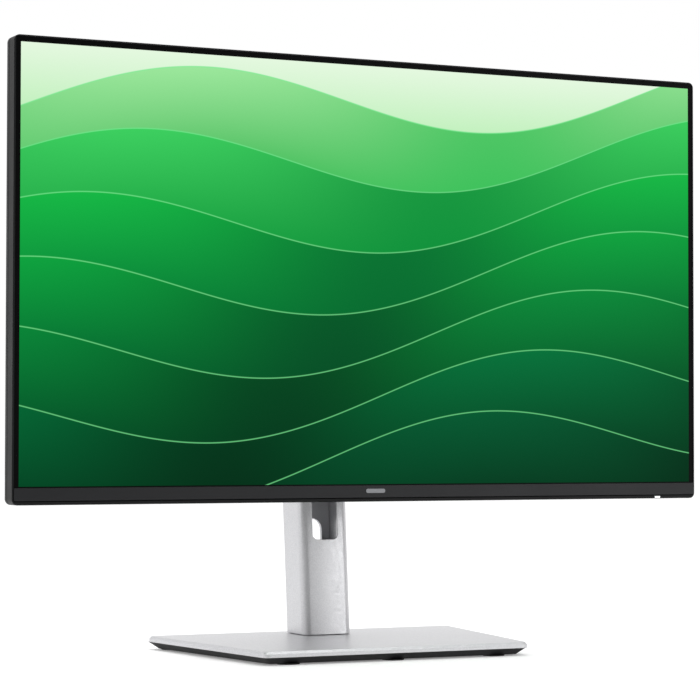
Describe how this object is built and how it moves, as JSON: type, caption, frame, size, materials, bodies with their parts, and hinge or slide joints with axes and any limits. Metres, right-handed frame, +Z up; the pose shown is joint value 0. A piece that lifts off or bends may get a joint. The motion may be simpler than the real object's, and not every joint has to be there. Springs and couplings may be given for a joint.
{
  "type": "computer monitor",
  "caption": "Flat wide computer monitor on a leaning column stand with a slim tapered base; height, tilt, swivel and pivot adjustment and rear joystick.",
  "frame": {"origin": "on the desk, under the middle of the monitor's bounding box", "axes": "+Z up, the screen faces -Y, +X is to the viewer's right"},
  "size_m": [0.5378, 0.1796, 0.4243],
  "materials": {
    "silver_paint": "satin",
    "silver_plastic": "satin",
    "black_plastic": "fine texture",
    "charcoal_plastic": "satin",
    "frame_plastic": "satin",
    "rubber": "matt",
    "steel": "bright",
    "zinc_steel": "zinc plated",
    "black_steel": "phosphated",
    "aluminium": "plain",
    "acetal": "moulded",
    "acrylic": "clear",
    "screen_glass": "black border",
    "screen_film": "anti-glare",
    "white_film": "white",
    "board_green": "solder mask",
    "parts_black": "moulded",
    "light_pipe": "clear",
    "cable": "flat cable",
    "brass": "nickel over brass"
  },
  "bodies": {
    "base": {"base_top_plate": "silver_paint", "base_weight_plate": "black_steel", "base_undertray": "black_plastic", "base_feet": "rubber", "base_screws": "zinc_steel", "swivel_bushing": "acetal"},
    "column": {"swivel_spindle": "steel", "swivel_retainer": "steel", "stand_screw": "zinc_steel", "column_foot_block": "aluminium", "column_channel": "silver_paint", "column_rear_cover": "silver_plastic", "column_rails": "zinc_steel", "column_top_cap": "silver_plastic", "column_screws": "zinc_steel", "spring_strips": "steel"},
    "carriage": {"carriage_frame": "black_steel", "carriage_glides": "acetal", "spring_axle": "steel"},
    "spring_left": {"spring_coil_left": "steel"},
    "spring_right": {"spring_coil_right": "steel"},
    "tilt_head": {"tilt_yoke": "black_steel", "tilt_shaft": "steel", "tilt_washers": "steel", "hinge_cover": "silver_plastic"},
    "display": {"stand_plate": "zinc_steel", "pivot_hub": "steel", "pivot_retainer": "steel", "front_polariser": "screen_film", "lcd_glass": "screen_glass", "optical_films": "white_film", "light_guide_plate": "acrylic", "reflector_sheet": "white_film", "led_bar": "board_green", "panel_back_tray": "zinc_steel", "panel_driver_board": "board_green", "middle_frame": "frame_plastic", "led_window": "light_pipe", "chin_strip": "charcoal_plastic", "chin_badge": "silver_plastic", "rear_cover": "black_plastic", "rear_cover_screws": "black_steel", "vesa_chassis": "zinc_steel", "main_board": "board_green", "power_board": "board_green", "board_screws": "zinc_steel", "heat_sink": "aluminium", "power_board_parts": "parts_black", "video_sockets": "zinc_steel", "usb_sockets": "zinc_steel", "ac_inlet": "parts_black", "ac_inlet_pins": "brass", "internal_cables": "cable", "control_board": "board_green"},
    "joystick_plunger": {"joystick_plunger": "parts_black"},
    "joystick_gimbal": {"joystick_gimbal": "acetal"},
    "joystick_cap": {"joystick_cap": "charcoal_plastic"},
    "power_button": {"power_button": "charcoal_plastic"},
    "release_button": {"release_button": "charcoal_plastic"},
    "release_latch": {"release_latch": "zinc_steel"}
  },
  "joints": [
    {"name": "swivel", "type": "hinge", "parent": "base", "child": "column", "pos_m": [0, 0.0428, 0.0096], "axis": [0, 0, 1], "range_deg": [-45, 45]},
    {"name": "height", "type": "slide", "parent": "column", "child": "carriage", "axis": [0, 0.0872, 0.9962], "range_m": [-0.0785, 0.0715], "deforming": ["spring_strips"]},
    {"name": "spring_left_roll", "type": "hinge", "parent": "carriage", "child": "spring_left", "pos_m": [0, 0.06437, 0.25028], "axis": [1, 0, 0], "range_deg": [-500, 500]},
    {"name": "spring_right_roll", "type": "hinge", "parent": "carriage", "child": "spring_right", "pos_m": [0, 0.06437, 0.25028], "axis": [1, 0, 0], "range_deg": [-500, 500]},
    {"name": "tilt", "type": "hinge", "parent": "carriage", "child": "tilt_head", "pos_m": [0, 0.026, 0.2707], "axis": [-1, 0, 0], "range_deg": [-5, 21]},
    {"name": "pivot", "type": "hinge", "parent": "tilt_head", "child": "display", "pos_m": [0, 0.01, 0.2707], "axis": [0, 1, 0], "range_deg": [-5, 5]},
    {"name": "power_button_press", "type": "slide", "parent": "display", "child": "power_button", "axis": [0, 0, 1], "range_m": [0, 0.001], "stiffness_N_per_m": 1500, "springref_m": -0.0006},
    {"name": "joystick_press", "type": "slide", "parent": "display", "child": "joystick_plunger", "axis": [0, -1, 0], "range_m": [0, 0.0005], "stiffness_N_per_m": 3000, "springref_m": -0.0004},
    {"name": "joystick_up_down", "type": "hinge", "parent": "joystick_plunger", "child": "joystick_gimbal", "pos_m": [0.215, -0.0372, 0.13], "axis": [1, 0, 0], "range_deg": [-7, 7], "stiffness_Nm_per_rad": 0.05},
    {"name": "joystick_left_right", "type": "hinge", "parent": "joystick_gimbal", "child": "joystick_cap", "pos_m": [0.215, -0.0372, 0.13], "axis": [0, 0, 1], "range_deg": [-7, 7], "stiffness_Nm_per_rad": 0.05},
    {"name": "release_press", "type": "slide", "parent": "display", "child": "release_button", "axis": [0, -1, 0], "range_m": [0, 0.0028], "stiffness_N_per_m": 900, "springref_m": -0.0015},
    {"name": "release_latch_slide", "type": "slide", "parent": "display", "child": "release_latch", "axis": [0, 0, -1], "range_m": [0, 0.0028]}
  ],
  "couplings": [
    {"joint": "spring_left_roll", "follows": "height", "rad_per_m": -105.26},
    {"joint": "spring_right_roll", "follows": "height", "rad_per_m": -105.26},
    {"joint": "release_latch_slide", "follows": "release_press", "ratio": 1}
  ]
}
